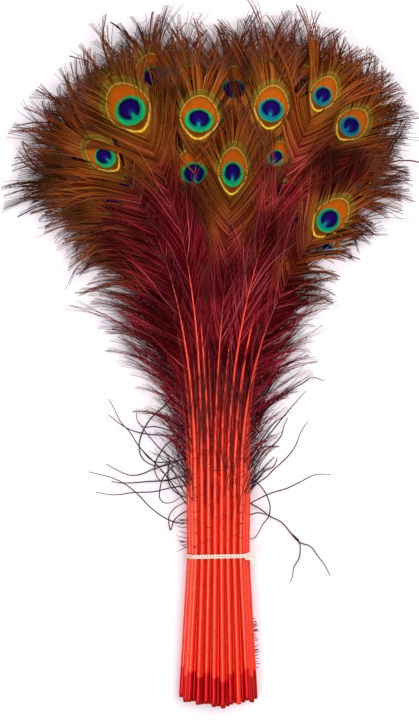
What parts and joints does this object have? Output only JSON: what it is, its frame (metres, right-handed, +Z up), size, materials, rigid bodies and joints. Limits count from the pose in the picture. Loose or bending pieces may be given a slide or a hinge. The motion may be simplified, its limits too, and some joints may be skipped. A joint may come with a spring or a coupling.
{
  "type": "peacock feather bundle",
  "caption": "Bundle of red-dyed peacock tail feathers lying flat, their eyes spread in a fan and their quills held together by a knotted cream string.",
  "frame": {"origin": "middle of the tie's flat underside, on the surface that the bundle lies on", "axes": "+Z up, +Y from the quill ends to the eyes along the bundle, +X to the right when the eyes are up and away from the viewer"},
  "size_m": [0.3182, 0.5493, 0.0378],
  "materials": {
    "feather": "dyed feather: shiny orange-red quills, dark red to bronze barbs with a blue and turquoise eye",
    "tie": "twisted cream cotton string"
  },
  "bodies": {
    "root": {"feather_01": "feather", "feather_02": "feather", "feather_03": "feather", "feather_04": "feather", "feather_05": "feather", "feather_06": "feather", "feather_07": "feather", "feather_08": "feather", "feather_09": "feather", "feather_10": "feather", "feather_11": "feather", "feather_12": "feather", "feather_13": "feather", "feather_14": "feather", "feather_15": "feather", "feather_16": "feather", "feather_17": "feather", "feather_18": "feather", "feather_19": "feather", "feather_20": "feather", "feather_21": "feather", "feather_22": "feather", "feather_23": "feather", "feather_24": "feather", "feather_25": "feather", "feather_26": "feather", "feather_27": "feather", "feather_28": "feather", "feather_29": "feather", "feather_30": "feather", "feather_31": "feather", "feather_32": "feather", "feather_33": "feather", "feather_34": "feather", "feather_35": "feather", "feather_36": "feather", "feather_37": "feather", "feather_38": "feather", "feather_39": "feather", "feather_40": "feather", "feather_41": "feather", "feather_42": "feather", "feather_43": "feather", "feather_44": "feather", "tie_band": "tie"}
  },
  "joints": []
}
